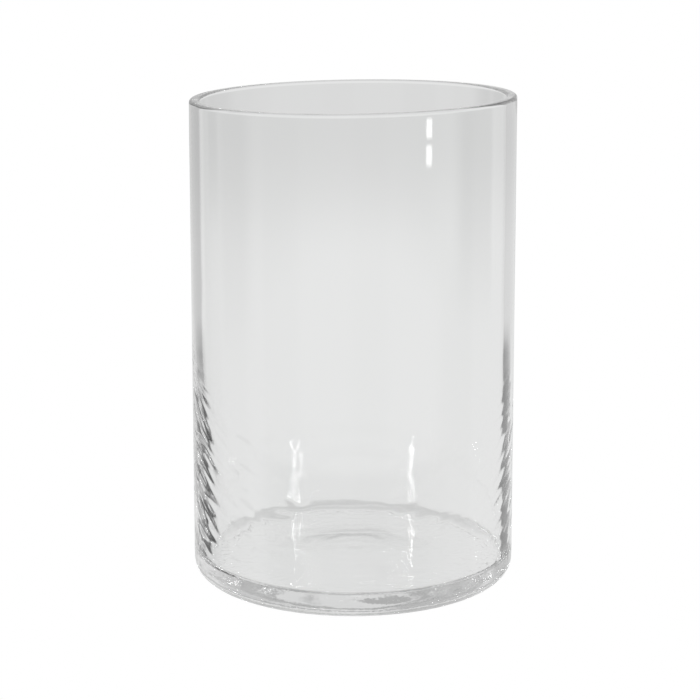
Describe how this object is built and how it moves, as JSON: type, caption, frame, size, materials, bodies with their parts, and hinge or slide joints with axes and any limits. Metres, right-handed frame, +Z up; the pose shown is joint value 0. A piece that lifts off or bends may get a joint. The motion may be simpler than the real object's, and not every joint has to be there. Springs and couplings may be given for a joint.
{
  "type": "glass cylinder vase",
  "caption": "Straight-sided clear glass cylinder vase with a thick base, a rounded heel and a fire-polished rim, open at the top for cut stems.",
  "frame": {"origin": "centre of the face the vase stands on", "axes": "+Z up along the vase's axis, out of the mouth; X and Y are any two directions across it, because the vase is round"},
  "size_m": [0.1, 0.1, 0.15],
  "materials": {
    "base_glass": "clear soda-lime glass, fire finished, faintly rippled",
    "wall_glass": "clear soda-lime glass, fire finished",
    "rim_glass": "clear soda-lime glass, flame polished"
  },
  "bodies": {
    "root": {"base": "base_glass", "wall": "wall_glass", "rim": "rim_glass"}
  },
  "joints": []
}
